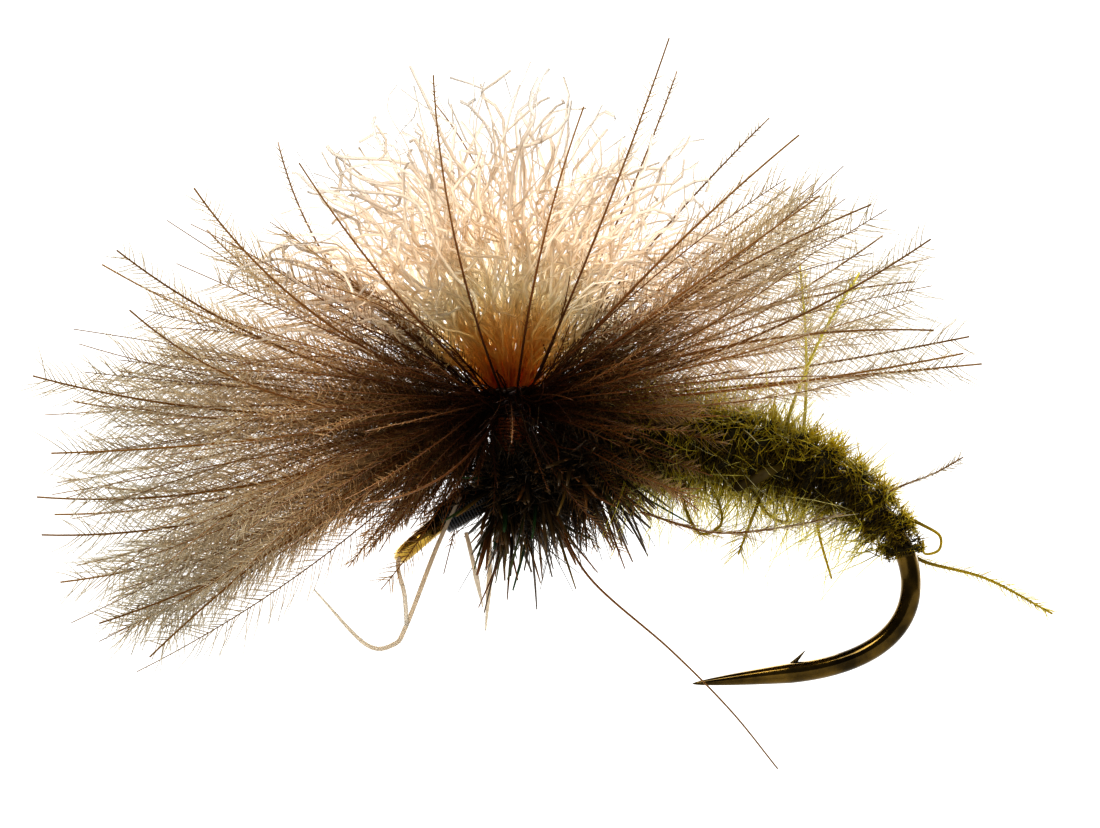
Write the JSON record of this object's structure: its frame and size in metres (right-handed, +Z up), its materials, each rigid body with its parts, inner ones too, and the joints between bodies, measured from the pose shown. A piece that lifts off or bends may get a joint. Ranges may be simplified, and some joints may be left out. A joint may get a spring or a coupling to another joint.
{
  "type": "dry fly",
  "caption": "Parachute dry fly on a curved barbed hook: fuzzy olive body, dark spiky thorax, pale crinkled wing post and a burst of brown feather hackle.",
  "frame": {"origin": "centre of the ring eye of the hook", "axes": "+Z up with the fly as it floats, wing post up and hook point below; +X along the fly from the eye to the bend; Y across the fly"},
  "size_m": [0.0229, 0.0176, 0.0163],
  "materials": {
    "hook_bronze": "bronzed high-carbon steel wire, polished",
    "varnished_thread": "black tying thread, varnished and glossy",
    "dark_thread": "waxed brown tying thread",
    "dark_dubbing": "stiff black-brown fur with green glints",
    "olive_herl": "fuzzy olive-yellow herl",
    "wing_yarn": "crinkled translucent flat yarn, peach to cream",
    "orange_thread": "orange-brown thread",
    "brown_hackle": "brown feather fibres with fine grey-brown barbules",
    "pale_strand": "thin pale brown translucent strip"
  },
  "bodies": {
    "root": {"hook": "hook_bronze", "head_wraps": "varnished_thread", "thread_underbody": "dark_thread", "thorax_dubbing": "dark_dubbing", "abdomen_herl": "olive_herl", "post_wraps": "orange_thread", "wing_post": "wing_yarn", "hackle_core": "brown_hackle", "hackle_fibre_01": "brown_hackle", "hackle_fibre_02": "brown_hackle", "hackle_fibre_03": "brown_hackle", "hackle_fibre_04": "brown_hackle", "hackle_fibre_05": "brown_hackle", "hackle_fibre_06": "brown_hackle", "hackle_fibre_07": "brown_hackle", "hackle_fibre_08": "brown_hackle", "hackle_fibre_09": "brown_hackle", "hackle_fibre_10": "brown_hackle", "hackle_fibre_11": "brown_hackle", "hackle_fibre_12": "brown_hackle", "hackle_fibre_13": "brown_hackle", "hackle_fibre_14": "brown_hackle", "hackle_fibre_15": "brown_hackle", "hackle_fibre_16": "brown_hackle", "hackle_fibre_17": "brown_hackle", "hackle_fibre_18": "brown_hackle", "hackle_fibre_19": "brown_hackle", "hackle_fibre_20": "brown_hackle", "hackle_fibre_21": "brown_hackle", "hackle_fibre_22": "brown_hackle", "hackle_fibre_23": "brown_hackle", "hackle_fibre_24": "brown_hackle", "hackle_fibre_25": "brown_hackle", "hackle_fibre_26": "brown_hackle", "hackle_fibre_27": "brown_hackle", "hackle_fibre_28": "brown_hackle", "hackle_fibre_29": "brown_hackle", "hackle_fibre_30": "brown_hackle", "hackle_fibre_31": "brown_hackle", "hackle_fibre_32": "brown_hackle", "hackle_fibre_33": "brown_hackle", "hackle_fibre_34": "brown_hackle", "hackle_fibre_35": "brown_hackle", "hackle_fibre_36": "brown_hackle", "hackle_fibre_37": "brown_hackle", "hackle_fibre_38": "brown_hackle", "abdomen_fibre_1": "olive_herl", "abdomen_fibre_2": "olive_herl", "abdomen_fibre_3": "olive_herl", "abdomen_fibre_4": "olive_herl", "abdomen_fibre_5": "olive_herl", "abdomen_fibre_6": "olive_herl", "herl_tag": "olive_herl", "tail_fibre": "olive_herl", "long_stray_fibre": "brown_hackle", "rear_stray_fibre": "brown_hackle", "under_stray_fibre": "brown_hackle", "loose_yarn_1": "pale_strand", "loose_yarn_2": "pale_strand", "loose_yarn_3": "pale_strand"}
  },
  "joints": []
}
